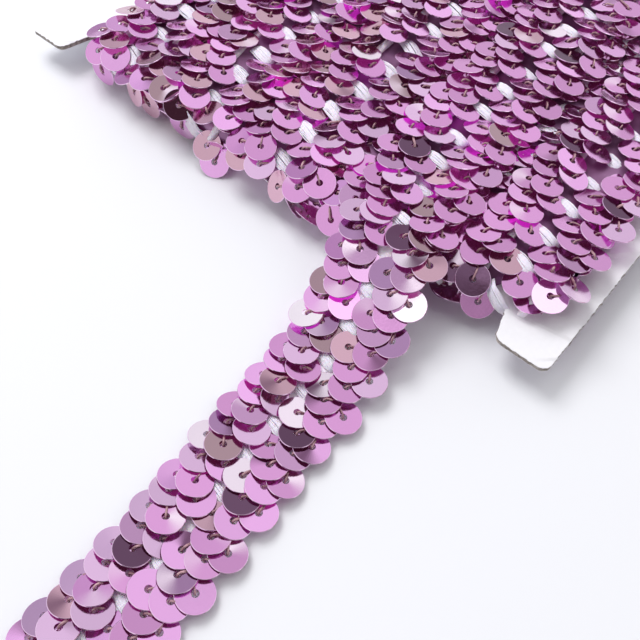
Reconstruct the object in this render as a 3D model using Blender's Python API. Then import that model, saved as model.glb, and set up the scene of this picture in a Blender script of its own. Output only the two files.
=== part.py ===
"""Sequin trim wound on a notched card, its loose end lying out over the surface. Metres, +Z up."""

import math

import bmesh
import bpy
from mathutils import Vector

MM = 0.001

# The card: a flat board with a wide notch in each long edge, where the trim goes round it.
CARD_LENGTH = 124.0 * MM
CARD_WIDTH = 90.0 * MM
CARD_THICKNESS = 1.0 * MM
CARD_FRONT_Y = -4.2 * MM
CARD_BOTTOM_Z = 5.0 * MM
NOTCH_DEPTH = 7.0 * MM
NOTCH_MOUTH = 105.2 * MM
NOTCH_FLOOR = 101.0 * MM
CORNER_RADIUS = 1.6 * MM
CORNER_STEPS = 4
SLOT_CORNER_SHARE = 0.6

# The trim: rows of sequins sewn on yarn, two chains side by side.
SEQUIN_PITCH = 6.0 * MM
SCALE_RISE = 0.55 * MM

# The wound form: what the turns make together, round the card.
WOUND_LEFT = -48.6 * MM
WOUND_RIGHT = 59.2 * MM
FOLD_REACH = 6.1 * MM
FOLD_ROUNDING = 9.5 * MM
FRONT_FOLD_Y = CARD_FRONT_Y + NOTCH_DEPTH - FOLD_REACH
BACK_FOLD_Y = CARD_FRONT_Y + CARD_WIDTH - NOTCH_DEPTH + FOLD_REACH
WOUND_TOP_Z = 10.7 * MM
STATIONS = 41
RUN_STEPS = 35
FOLD_STEPS = 14
TURN_HALF_WIDTH = 11.0 * MM
TURN_EDGE_DROP = 1.5 * MM
CHAIN_GAP_DROP = 0.45 * MM
CHAIN_GAP_WIDTH = 1.6 * MM
TOP_SWELL = 0.25 * MM
TOP_SWELL_ALONG = 9.0 * MM
TOP_SWELL_ACROSS = 13.0 * MM
UNDERSIDE_FLATTENING = 0.9 * MM
CARD_CLEARANCE = 0.3 * MM

# Toward the card's ends the front fold lies further back, where the trim rides up on the tabs.
END_RECESS = 3.8 * MM
RECESS_START_X = 32.0 * MM
RECESS_REACH_X = 18.0 * MM
RECESS_END_Y = FRONT_FOLD_Y + FOLD_ROUNDING * 1.6

# One row for each turn of the outer layer: its middle at the back, its middle at the front, its rise.
TURN_COLUMNS = ("back_x", "front_x", "rise")
TURN_ROWS = (
    (-37.6 * MM, -37.1 * MM, 0.0 * MM),
    (-17.2 * MM, -16.6 * MM, -0.35 * MM),
    (3.4 * MM, 3.9 * MM, 0.15 * MM),
    (24.8 * MM, 29.6 * MM, 0.4 * MM),
    (48.6 * MM, 48.6 * MM, -0.1 * MM),
)
LAST_TURN = 3
SLANT_START_Y = 22.0 * MM
SLANT_END_Y = 0.0 * MM
LAST_TURN_END_Y = 2.3 * MM
LAYER_DROP = 1.5 * MM
LAYER_DROP_HALF_WIDTH = 11.5 * MM

# The loose end: one row for each point of its underside's middle, from the wound turn to the cut end.
LOOSE_COLUMNS = ("x", "y", "z")
LOOSE_ROWS = (
    (29.2 * MM, 1.0 * MM, 9.3 * MM),
    (30.0 * MM, -2.2 * MM, 8.7 * MM),
    (30.9 * MM, -6.0 * MM, 7.3 * MM),
    (31.9 * MM, -10.5 * MM, 5.2 * MM),
    (33.0 * MM, -16.5 * MM, 2.6 * MM),
    (34.0 * MM, -23.5 * MM, 0.75 * MM),
    (34.4 * MM, -31.3 * MM, 0.0 * MM),
    (35.0 * MM, -44.1 * MM, 0.0 * MM),
    (35.9 * MM, -53.6 * MM, 0.0 * MM),
    (36.5 * MM, -64.0 * MM, 0.0 * MM),
    (36.5 * MM, -85.8 * MM, 0.0 * MM),
)
CURVE_STEPS = 24
STEPS_A_ROW = 4
LOOSE_STEP = SEQUIN_PITCH * 1.1 / STEPS_A_ROW
LOOSE_COLUMNS_ACROSS = 9
LOOSE_HALF_WIDTH = 9.8 * MM
LOOSE_NECK_HALF_WIDTH = 9.5 * MM
LOOSE_NECK_LENGTH = 30.0 * MM
LOOSE_EDGE_THICKNESS = 1.0 * MM
LOOSE_CROWN = 1.1 * MM
SCALLOP_DEPTH = 0.9 * MM


def clear_scene():
    """Removes every object that is in the scene."""
    for old in list(bpy.data.objects):
        bpy.data.objects.remove(old, do_unlink=True)


def material(name, colour, roughness, metallic=0.0):
    """One Principled material for one sub-part."""
    made = bpy.data.materials.new(name)
    made.use_nodes = True
    shader = made.node_tree.nodes["Principled BSDF"]
    shader.inputs["Base Color"].default_value = (*colour, 1.0)
    shader.inputs["Roughness"].default_value = roughness
    shader.inputs["Metallic"].default_value = metallic
    return made


def mesh_object(name, mesh, surface):
    """Puts a bmesh into the scene as a named object."""
    data = bpy.data.meshes.new(name)
    mesh.to_mesh(data)
    mesh.free()
    made = bpy.data.objects.new(name, data)
    bpy.context.collection.objects.link(made)
    if surface is not None:
        data.materials.append(surface)
    return made


def smoothstep(value):
    """0 below 0, 1 above 1, and a smooth rise between."""
    held = min(max(value, 0.0), 1.0)
    return held * held * (3.0 - 2.0 * held)


def corner_arc(corner, toward_in, toward_out, radius):
    """Points that round one corner of the card's outline, from the side it comes in on to the other."""
    incoming = (toward_in - corner).normalized()
    outgoing = (toward_out - corner).normalized()
    half = incoming.angle(outgoing) / 2
    start = corner + incoming * (radius / math.tan(half))
    end = corner + outgoing * (radius / math.tan(half))
    centre = corner + (incoming + outgoing).normalized() * (radius / math.sin(half))
    points = []
    for step in range(CORNER_STEPS + 1):
        blended = start.lerp(end, step / CORNER_STEPS)
        points.append(centre + (blended - centre).normalized() * radius)
    return points


def card_outline(grow):
    """The card's outline, counter-clockwise, grown outward by a clearance."""
    half = CARD_LENGTH / 2 + grow
    mouth = NOTCH_MOUTH / 2 - grow
    floor = NOTCH_FLOOR / 2 - grow
    front = CARD_FRONT_Y - grow
    back = CARD_FRONT_Y + CARD_WIDTH + grow
    front_floor = CARD_FRONT_Y + NOTCH_DEPTH - grow
    back_floor = CARD_FRONT_Y + CARD_WIDTH - NOTCH_DEPTH + grow
    corners = [
        (-half, front), (-mouth, front), (-floor, front_floor), (floor, front_floor),
        (mouth, front), (half, front), (half, back), (mouth, back),
        (floor, back_floor), (-floor, back_floor), (-mouth, back), (-half, back),
    ]
    corners = [Vector(point) for point in corners]
    radius = CORNER_RADIUS if grow == 0.0 else CORNER_RADIUS * SLOT_CORNER_SHARE
    outline = []
    for index, corner in enumerate(corners):
        before = corners[index - 1]
        after = corners[(index + 1) % len(corners)]
        outline.extend(corner_arc(corner, before, after, radius))
    return outline


def card_solid(name, surface, grow):
    """The card's outline extruded to its thickness, with clearance all round if it is grown."""
    mesh = bmesh.new()
    low = CARD_BOTTOM_Z - grow
    high = CARD_BOTTOM_Z + CARD_THICKNESS + grow
    ring = [mesh.verts.new((point.x, point.y, low)) for point in card_outline(grow)]
    base = mesh.faces.new(ring)
    lifted = bmesh.ops.extrude_face_region(mesh, geom=[base])
    moved = [item for item in lifted["geom"] if isinstance(item, bmesh.types.BMVert)]
    bmesh.ops.translate(mesh, verts=moved, vec=(0.0, 0.0, high - low))
    bmesh.ops.recalc_face_normals(mesh, faces=mesh.faces)
    return mesh_object(name, mesh, surface)


def wound_profile():
    """The closed section of the wound form across the card: places in Y and Z, with outward normals."""
    run_front = FRONT_FOLD_Y + FOLD_ROUNDING
    run_back = BACK_FOLD_Y - FOLD_ROUNDING
    middle = WOUND_TOP_Z / 2
    places = []
    for step in range(RUN_STEPS):
        along = step / RUN_STEPS
        places.append((run_front + (run_back - run_front) * along, WOUND_TOP_Z, 0.0, 1.0))
    for step in range(FOLD_STEPS):
        turn = math.pi * step / FOLD_STEPS
        across, up = math.sin(turn), math.cos(turn)
        places.append((run_back + FOLD_ROUNDING * across, middle + middle * up, across, up))
    for step in range(RUN_STEPS):
        along = step / RUN_STEPS
        places.append((run_back + (run_front - run_back) * along, 0.0, 0.0, -1.0))
    for step in range(FOLD_STEPS):
        turn = math.pi * step / FOLD_STEPS
        across, up = -math.sin(turn), -math.cos(turn)
        places.append((run_front + FOLD_ROUNDING * across, middle + middle * up, across, up))
    return places


def fold_recess(x, y):
    """How far the front fold lies back at one place."""
    toward_end = smoothstep((abs(x) - RECESS_START_X) / RECESS_REACH_X)
    return END_RECESS * toward_end * smoothstep((RECESS_END_Y - y) / FOLD_ROUNDING)


def turn_middle(turn, y, on_top):
    """Where one turn's middle lies at a place along it. Only the last turn slants, on top, near the front."""
    row = dict(zip(TURN_COLUMNS, TURN_ROWS[turn]))
    if not on_top:
        return row["back_x"]
    slant = smoothstep((SLANT_START_Y - y) / (SLANT_START_Y - SLANT_END_Y))
    return row["back_x"] + (row["front_x"] - row["back_x"]) * slant


def wound_relief(x, y, on_top):
    """How far the turns stand out from the plain section at one place."""
    highest = -2.0 * TURN_EDGE_DROP
    for turn, row in enumerate(TURN_ROWS):
        away = x - turn_middle(turn, y, on_top)
        share = abs(away) / TURN_HALF_WIDTH
        rise = row[TURN_COLUMNS.index("rise")] - TURN_EDGE_DROP * share ** 3
        rise -= CHAIN_GAP_DROP * math.exp(-((away / CHAIN_GAP_WIDTH) ** 2))
        highest = max(highest, rise)
    under_loose_end = abs(x - TURN_ROWS[LAST_TURN][TURN_COLUMNS.index("front_x")]) < LAYER_DROP_HALF_WIDTH
    if on_top and y < LAST_TURN_END_Y and under_loose_end:
        highest -= LAYER_DROP
    return highest


def wound_trim(surface, cutter):
    """The wound form: all turns of all layers as one solid round the card, with the outer turns in relief."""
    mesh = bmesh.new()
    places = wound_profile()
    rings = []
    for station in range(STATIONS):
        x = WOUND_LEFT + (WOUND_RIGHT - WOUND_LEFT) * station / (STATIONS - 1)
        ring = []
        run = 0.0
        for index, (y, z, across, up) in enumerate(places):
            last_y, last_z = places[index - 1][:2]
            run += math.hypot(y - last_y, z - last_z) if index else 0.0
            on_top = z > WOUND_TOP_Z / 2
            relief = wound_relief(x, y, on_top)
            scale = 1.0 - (run / SEQUIN_PITCH + 0.5 * (station % 2)) % 1.0
            relief += SCALE_RISE * scale
            if on_top:
                relief += TOP_SWELL * math.sin(y / TOP_SWELL_ALONG + x / TOP_SWELL_ACROSS)
            if up < -0.5:
                relief = min(relief + UNDERSIDE_FLATTENING, 0.0)
            place_y = y + across * relief + fold_recess(x, y)
            ring.append(mesh.verts.new((x, place_y, max(z + up * relief, 0.0))))
        rings.append(ring)
    for left, right in zip(rings, rings[1:]):
        for index in range(len(places)):
            following = (index + 1) % len(places)
            mesh.faces.new((left[index], left[following], right[following], right[index]))
    mesh.faces.new(rings[0])
    mesh.faces.new(rings[-1])
    flat = [face for face in mesh.faces if all(vert.co.z < 0.001 * MM for vert in face.verts)]
    edges = list({edge for face in flat for edge in face.edges})
    corners = list({vert for face in flat for vert in face.verts})
    bmesh.ops.dissolve_limit(mesh, angle_limit=math.radians(0.5), verts=corners, edges=edges)
    bmesh.ops.triangulate(mesh, faces=mesh.faces)
    bmesh.ops.recalc_face_normals(mesh, faces=mesh.faces)
    made = mesh_object("wound_trim", mesh, surface)
    slot = made.modifiers.new("card slot", "BOOLEAN")
    slot.operation = "DIFFERENCE"
    slot.solver = "EXACT"
    slot.object = cutter
    return made


def smooth_route(rows, step):
    """Even steps along a smooth curve through the rows' points."""
    points = [Vector(row) for row in rows]
    ends = [points[0] * 2 - points[1], *points, points[-1] * 2 - points[-2]]
    fine = []
    for index in range(1, len(ends) - 2):
        p0, p1, p2, p3 = ends[index - 1:index + 3]
        for part in range(CURVE_STEPS):
            t = part / CURVE_STEPS
            fine.append(0.5 * (2 * p1 + (p2 - p0) * t + (2 * p0 - 5 * p1 + 4 * p2 - p3) * t * t
                               + (3 * p1 - p0 - 3 * p2 + p3) * t ** 3))
    fine.append(points[-1])
    length = sum((b - a).length for a, b in zip(fine, fine[1:]))
    count = round(length / step)
    even = [fine[0]]
    run = 0.0
    for a, b in zip(fine, fine[1:]):
        piece = (b - a).length
        while len(even) < count and run + piece >= length * len(even) / count:
            even.append(a.lerp(b, (length * len(even) / count - run) / piece))
        run += piece
    even.append(fine[-1])
    return even


def loose_end(surface):
    """The loose end: a crowned strip with scalloped edges, its rows of scales in relief on top."""
    mesh = bmesh.new()
    route = smooth_route(LOOSE_ROWS, LOOSE_STEP)
    rings = []
    for index, place in enumerate(route):
        place = Vector((place.x, place.y, max(place.z, 0.0)))
        before = route[max(index - 1, 0)]
        after = route[min(index + 1, len(route) - 1)]
        along = (after - before).normalized()
        side = Vector((along.y, -along.x, 0.0)).normalized() * -1.0
        up = along.cross(side).normalized()
        if up.z < 0.0:
            up.negate()
        if place.z < 0.05 * MM:
            up = Vector((0.0, 0.0, 1.0))
        run = index * LOOSE_STEP
        neck = 1.0 - smoothstep(2.0 * run / LOOSE_NECK_LENGTH - 1.0)
        half = LOOSE_HALF_WIDTH + (LOOSE_NECK_HALF_WIDTH - LOOSE_HALF_WIDTH) * neck
        upper = []
        lower = []
        for column in range(LOOSE_COLUMNS_ACROSS):
            share = 2.0 * column / (LOOSE_COLUMNS_ACROSS - 1) - 1.0
            beat = (index / STEPS_A_ROW + 0.5 * (column % 2)) % 1.0
            edge_in = SCALLOP_DEPTH * (1.0 - abs(math.cos(math.pi * index / STEPS_A_ROW)))
            reach = half - (edge_in if abs(share) > 0.99 else 0.0)
            thick = LOOSE_EDGE_THICKNESS + LOOSE_CROWN * (1.0 - share ** 4)
            thick -= CHAIN_GAP_DROP * math.exp(-((share * half / CHAIN_GAP_WIDTH) ** 2))
            foot = place + side * (share * reach)
            lower.append(mesh.verts.new(foot))
            upper.append(mesh.verts.new(foot + up * (thick + SCALE_RISE * (1.0 - beat))))
        rings.append(upper + lower[::-1])
    for first, second in zip(rings, rings[1:]):
        for index in range(len(first)):
            following = (index + 1) % len(first)
            mesh.faces.new((first[index], first[following], second[following], second[index]))
    mesh.faces.new(rings[0])
    mesh.faces.new(rings[-1])
    bmesh.ops.triangulate(mesh, faces=mesh.faces)
    bmesh.ops.recalc_face_normals(mesh, faces=mesh.faces)
    return mesh_object("loose_end", mesh, surface)


def build():
    """Makes the card, the wound form round it and the loose end."""
    clear_scene()
    board = material("card_board", (0.86, 0.86, 0.88), 0.85)
    sequins = material("sequin_trim", (0.74, 0.45, 0.70), 0.28, 0.7)
    card_solid("card", board, 0.0)
    cutter = card_solid("card_slot_cutter", None, CARD_CLEARANCE)
    cutter.hide_render = True
    cutter.display_type = "WIRE"
    wound_trim(sequins, cutter)
    loose_end(sequins)


build()
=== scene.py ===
"""Looks of a sequin trim wound on a notched card, its loose end lying out over a pale surface."""

import math

import bmesh
import bpy
import numpy as np
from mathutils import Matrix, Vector
from mathutils.geometry import delaunay_2d_cdt


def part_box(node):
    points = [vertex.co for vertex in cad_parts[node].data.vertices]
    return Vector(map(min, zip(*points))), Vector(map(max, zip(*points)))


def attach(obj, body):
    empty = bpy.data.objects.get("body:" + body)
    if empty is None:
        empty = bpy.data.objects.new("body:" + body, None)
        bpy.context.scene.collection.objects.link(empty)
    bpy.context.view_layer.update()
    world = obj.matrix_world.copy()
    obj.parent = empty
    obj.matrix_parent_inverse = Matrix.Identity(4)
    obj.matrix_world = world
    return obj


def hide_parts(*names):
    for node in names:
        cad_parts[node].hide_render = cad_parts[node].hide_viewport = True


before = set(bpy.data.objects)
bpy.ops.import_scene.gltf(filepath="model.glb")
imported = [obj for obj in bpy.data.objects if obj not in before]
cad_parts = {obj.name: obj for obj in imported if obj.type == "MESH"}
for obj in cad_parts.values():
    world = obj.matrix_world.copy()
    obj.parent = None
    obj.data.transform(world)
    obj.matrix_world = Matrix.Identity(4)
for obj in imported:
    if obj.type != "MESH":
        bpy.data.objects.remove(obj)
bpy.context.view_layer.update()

# Lengths are in millimetres until a mesh is made.
MM = 0.001
SEED = 20
rng = np.random.default_rng(SEED)

# The frame's own sizes.
card_low, card_high = (np.array(corner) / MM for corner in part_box("card"))
wound_low, wound_high = (np.array(corner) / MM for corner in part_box("wound_trim"))
loose_low, loose_high = (np.array(corner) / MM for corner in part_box("loose_end"))

# Sequins.
SEQUIN_RADIUS = 2.95
SEQUIN_HOLE = 0.6
SEQUIN_THICKNESS = 0.13
SEQUIN_SEGMENTS = 32
REST_GAP = 0.38
# Painted light on the sequins' undersides, seen reflected in the discs below: its emission strengths, and how often
# each is met.
PAINTED_GLOWS = (0.0, 0.1, 0.4)
PAINTED_GLOW_SHARES = (0.76, 0.19, 0.05)
# Shares of sequins on the wound pack and on the loose end that carry a painted glint: a painted highlight or a painted
# dark reflection spreading out from the hole.
WOUND_PAINTED_GLINT_SHARE = 0.16
LOOSE_PAINTED_GLINT_SHARE = 0.4

# Where the eight rows of a strip lie: across it, how far each is behind the first in pitches, the share that
# is missing, and how much more they are tilted and rolled on the loose end, in degrees.
ROW_COLUMNS = ("across", "lag", "missing", "loose_tilt", "loose_roll")
ROWS = (
    (-7.1, -0.28, 0.0, 7.0, -10.0),
    (-6.0, 0.18, 0.0, 7.0, -10.0),
    (-4.0, -0.34, 0.0, 4.0, -5.0),
    (-1.95, 0.0, 0.02, 1.0, -3.0),
    (1.8, 0.0, 0.02, 0.0, 0.0),
    (4.0, 0.4, 0.0, 0.0, 0.0),
    (5.5, -0.13, 0.0, 0.0, 0.0),
    (7.6, -0.56, 0.0, 0.0, 2.0),
)
UNDER_ROWS = ((-3.4, 0.0, 0.0, 0.0, 0.0), (-1.2, 0.5, 0.0, 0.0, 0.0), (1.2, 0.0, 0.0, 0.0, 0.0), (3.4, 0.5, 0.0, 0.0, 0.0))
LEFT_EDGE_ROWS = ((-6.6, 0.0, 0.0, 0.0, 0.0), (-4.4, 0.5, 0.0, 0.0, 0.0))
RIGHT_EDGE_ROWS = ((6.6, 0.0, 0.0, 0.0, 0.0), (4.4, 0.5, 0.0, 0.0, 0.0))
LEFT_CHAIN_LAG = -0.2
WOUND_TILT = 10.0
LOOSE_TILT = 9.0
CHAIN_MIDDLE = 4.6
CHAIN_CROWN = 0.26
CHAIN_REACH = 3.2
WOUND_PITCH = 7.5
LOOSE_PITCH = 6.65
WOUND_SPREAD = 1.17
LOOSE_SPREAD = 0.92
NECK_SPREAD = 1.0
BAND_WIDTH = 14.0

# The wound form's section, as in the frame: a flat oval round the card.
NOTCH_DEPTH = 7.0
FOLD_REACH = 6.1
FOLD_ROUNDING = 9.5
WOUND_TOP = 10.7
SINK = 0.75
FOLD_SLACK = 0.8
LAYER = 1.25
fold_front = card_low[1] + NOTCH_DEPTH - FOLD_REACH
fold_back = card_high[1] - NOTCH_DEPTH + FOLD_REACH

# One row for each turn of the outer layer: its middle at the back, its middle at the front, its rise.
TURNS = (
    (-37.6, -37.1, 0.0),
    (-17.2, -16.6, -0.3),
    (3.4, 3.9, 0.1),
    (24.8, 29.6, 0.45),
    (48.6, 48.6, -0.1),
)
LAST_TURN = 3
END_RECESS = 3.8
RECESS_START = 32.0
RECESS_REACH = 18.0
SLANT_START = 22.0
SLANT_END = 0.0
LAST_TURN_END = 2.3

# Places along Y of one sequin in the last strip's fifth row, wound and loose.
WOUND_PHASE_Y = 43.0
LOOSE_PHASE_Y = -13.4

# The loose end's middle under its rows, from the last turn to the cut end.
LOOSE_LIFT = 1.55
LOOSE_ROUTE = (
    (29.2, 1.0, 9.3),
    (30.0, -2.2, 8.7),
    (30.9, -6.0, 7.3),
    (31.9, -10.5, 5.2),
    (33.0, -16.5, 2.6),
    (34.0, -23.5, 0.75),
    (34.4, -31.3, 0.0),
    (35.0, -44.1, 0.0),
    (35.9, -53.6, 0.0),
    (36.5, -64.0, 0.0),
    (36.5, -84.0, 0.0),
)

# The card: its outline, and rings up its edge as share of thickness, roughness, inset and whether core.
CARD_LENGTH = card_high[0] - card_low[0]
NOTCH_MOUTH = 105.2
NOTCH_FLOOR = 101.0
TAB_START = 48.8
CARD_RINGS = (
    (0.0, 0.015, 0.06, 0.0),
    (0.07, 0.02, 0.0, 0.0),
    (0.16, 0.05, 0.06, 1.0),
    (0.35, 0.09, 0.05, 1.0),
    (0.55, 0.09, 0.02, 1.0),
    (0.75, 0.08, 0.06, 1.0),
    (0.86, 0.04, 0.03, 1.0),
    (0.94, 0.02, 0.0, 0.0),
    (1.0, 0.015, 0.06, 0.0),
)

# The camera, where the photograph was taken from.
CAMERA_PLACE = (73.4, -70.8, 114.0)
CAMERA_AZIMUTH = 40.5
CAMERA_PITCH = 58.0
CAMERA_LENS = 45.0
CAMERA_SENSOR = 36.0


def unit(vectors):
    """Vectors of length 1."""
    return vectors / np.linalg.norm(vectors, axis=-1, keepdims=True)


def smoothstep(value):
    """0 below 0, 1 above 1, and a smooth rise between."""
    held = np.clip(value, 0.0, 1.0)
    return held * held * (3.0 - 2.0 * held)


# Which way a stitch leaves its hole, in degrees from the strip's right edge toward the pack: first choice first.
STITCH_RADIUS = 0.19
STITCH_ANGLES = (45.0, 70.0, 20.0, 95.0, 120.0, 0.0, 145.0)
STITCH_CHOICES = [(angle, reach) for reach in (1.3, 1.7, 2.1, 2.5) for angle in STITCH_ANGLES]


# The yarn: strands under the chains (across, depth, radius, twist), and filaments that cross between them.
STRANDS = ((-4.6, -0.9, 0.8, 0.3), (4.6, -0.9, 0.8, 4.0))
FILAMENTS = 16
FILAMENT_RADIUS = 0.135
CROSSING_HALF_LENGTH = 2.7
CROSSING_HALF_WIDTH = 1.1
CROSSING_HEIGHT = -0.35
CROSSING_SLANT = 0.3


class Path:
    """A strip's middle line, with the directions along it, out of the surface and across it."""

    def __init__(self, points, outs):
        points, outs = np.array(points, dtype=float), np.array(outs, dtype=float)
        steps = np.linalg.norm(np.diff(points, axis=0), axis=1)
        moved = np.concatenate([[True], steps > 1e-6])
        points, outs, steps = points[moved], outs[moved], steps[steps > 1e-6]
        self.run = np.concatenate([[0.0], np.cumsum(steps)])
        self.points = points
        self.along = unit(np.gradient(points, self.run, axis=0))
        outs = outs - self.along * (outs * self.along).sum(-1, keepdims=True)
        self.out = unit(outs)
        self.length = self.run[-1]

    def at(self, distance):
        """Place, along, out and across at distances along the path."""
        found = []
        for table in (self.points, self.along, self.out):
            found.append(np.stack([np.interp(distance, self.run, table[:, k]) for k in range(3)], -1))
        place, along, out = found[0], unit(found[1]), unit(found[2])
        return place, along, out, np.cross(out, along)


def oval(inset, steps=400):
    """The wound form's section from the back end of its top, forward and round: Y, Z and outward normals."""
    front, back = fold_front + inset, fold_back - inset
    low, high = inset, WOUND_TOP - inset
    rounding = FOLD_ROUNDING - inset
    middle, half = (low + high) / 2, (high - low) / 2
    top = np.linspace(back - rounding, front + rounding, steps, endpoint=False)
    turn = np.linspace(0.0, math.pi, steps, endpoint=False)
    sections = [
        (top, np.full(steps, high), np.zeros(steps), np.ones(steps)),
        (front + rounding - rounding * np.sin(turn), middle + half * np.cos(turn),
         -np.sin(turn) / rounding, np.cos(turn) / half),
        (top[::-1], np.full(steps, low), np.zeros(steps), -np.ones(steps)),
        (back - rounding + rounding * np.sin(turn), middle - half * np.cos(turn),
         np.sin(turn) / rounding, -np.cos(turn) / half),
    ]
    return [np.concatenate([section[k] for section in sections]) for k in range(4)]


def fold_recess(x, y):
    """How far the front fold lies back toward the card's ends."""
    toward_end = smoothstep((np.abs(x) - RECESS_START) / RECESS_REACH)
    return END_RECESS * toward_end * smoothstep((fold_front + FOLD_ROUNDING * 1.6 - y) / FOLD_ROUNDING)


def wound_path(turn, inset, straight=False):
    """One closed turn of the winding as a path that starts at the back of its top."""
    y, z, out_y, out_z = oval(inset)
    back_x, front_x, rise = TURNS[turn]
    y = y + fold_recess(front_x, y)
    slant = smoothstep((SLANT_START - y) / (SLANT_START - SLANT_END))
    on_top = smoothstep((z - WOUND_TOP / 2) / 2.0)
    x = back_x + (0.0 if straight else 1.0) * (front_x - back_x) * slant * on_top
    x = x + 0.45 * np.sin(y / 11.0 + turn * 2.1) * on_top
    outs = unit(np.stack([np.zeros_like(y), out_y, out_z], -1))
    points = np.stack([x, y, z], -1)
    lift = rise * on_top + 0.2 * np.sin(y / 8.0 + turn * 1.7) * on_top
    points = points + outs * lift[:, None]
    return Path(points, outs)


def through(points, steps=24):
    """Even points of a smooth curve through a few points."""
    points = [np.array(point, dtype=float) for point in points]
    ends = [2 * points[0] - points[1], *points, 2 * points[-1] - points[-2]]
    curve = []
    for index in range(1, len(ends) - 2):
        a, b, c, d = ends[index - 1:index + 3]
        for part in range(steps):
            t = part / steps
            curve.append(0.5 * (2 * b + (c - a) * t + (2 * a - 5 * b + 4 * c - d) * t * t
                                + (3 * b - a - 3 * c + d) * t ** 3))
    curve.append(points[-1])
    return np.array(curve)


def last_path():
    """The last turn over the top and on down the loose end to the cut, as one path."""
    back_x, front_x, rise = TURNS[LAST_TURN]
    points = []
    for y in (fold_back - FOLD_ROUNDING, 62.0, 50.0, 38.0, 28.0, 21.0, 15.0, 10.0, 6.0):
        slant = smoothstep((SLANT_START - y) / (SLANT_START - SLANT_END))
        points.append((back_x + (front_x - back_x) * slant, y, WOUND_TOP - SINK + rise + 0.25))
    for x, y, z in LOOSE_ROUTE:
        points.append((x, y, z + LOOSE_LIFT))
    curve = through(points)
    along = unit(np.gradient(curve, axis=0))
    outs = np.cross(along, np.array([1.0, 0.0, 0.0]))
    outs = outs * np.sign(outs[:, 2:3])
    return Path(curve, outs)


class Discs:
    """Sequins as arrays: where each is, how it lies, and what it belongs to."""

    def __init__(self):
        self.centre = np.zeros((0, 3))
        self.normal = np.zeros((0, 3))
        self.along = np.zeros((0, 3))
        self.out = np.zeros((0, 3))
        self.layer = np.zeros(0)
        self.piece = []

    def add(self, centre, normal, along, out, layer, names):
        self.centre = np.vstack([self.centre, centre])
        self.normal = np.vstack([self.normal, normal])
        self.along = np.vstack([self.along, along])
        self.out = np.vstack([self.out, out])
        self.layer = np.concatenate([self.layer, np.full(len(centre), float(layer))])
        self.piece.extend(names)


discs = Discs()


def sew(path, start, stop, pitch, spread, name, layer=1.0, rows=ROWS, tilt=WOUND_TILT, loosen=1.0, phase=None,
        left_lag=LEFT_CHAIN_LAG):
    """Puts rows of sequins on a stretch of a path. spread is a number or a function of the distance."""
    base_tilt = math.radians(tilt)
    phase = start if phase is None else start + (phase - start) % pitch
    for across, lag, missing, loose_tilt, loose_roll in rows:
        count = int((stop - start) / pitch) + 4
        lag = lag + (left_lag if across < 0.0 else 0.0)
        distance = phase + pitch * (np.arange(count) - 2 + lag)
        distance = distance + rng.normal(0.0, 0.22 * loosen, count)
        kept = (distance >= start) & (distance <= stop) & (rng.random(count) >= missing * loosen)
        distance = distance[kept]
        if not len(distance):
            continue
        place, along, out, side = path.at(distance)
        ahead = path.at(np.clip(distance + 1.0, 0, path.length))[2]
        bend = np.linalg.norm(ahead - out, axis=-1)
        factor = spread(distance) if callable(spread) else np.full(len(distance), spread)
        offset = across * factor + rng.normal(0.0, 0.22 * loosen, len(distance))
        from_chain = (offset - math.copysign(CHAIN_MIDDLE, across) * factor) / CHAIN_REACH
        height = CHAIN_CROWN * (1.0 - from_chain ** 2)
        stray = rng.random(len(distance)) < 0.045 * loosen
        pitch_tilt = base_tilt + np.arctan(1.25 * bend) + rng.normal(0.0, math.radians(4.0), len(distance)) * loosen
        pitch_tilt = pitch_tilt + np.where(stray, rng.normal(0.0, math.radians(11.0), len(distance)), 0.0)
        roll = 2.0 * CHAIN_CROWN * from_chain / CHAIN_REACH
        roll = roll + rng.normal(0.0, 0.09 * loosen, len(distance))
        if tilt == LOOSE_TILT:
            flat = smoothstep((distance - LEAVE - 18.0) / 14.0)
            pitch_tilt = pitch_tilt + math.radians(loose_tilt) * flat
            roll = roll + math.radians(loose_roll) * flat
        roll = roll + np.where(stray, rng.normal(0.0, 0.2, len(distance)), 0.0)
        centre = place + side * offset[:, None] + out * (height + 0.2)[:, None]
        centre = centre + out * np.where(stray, 0.35, 0.0)[:, None]
        normal = unit(out - along * np.tan(pitch_tilt)[:, None] + side * roll[:, None])
        names = [name(point) if callable(name) else name for point in centre]
        discs.add(centre, normal, along, out, layer, names)


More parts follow.
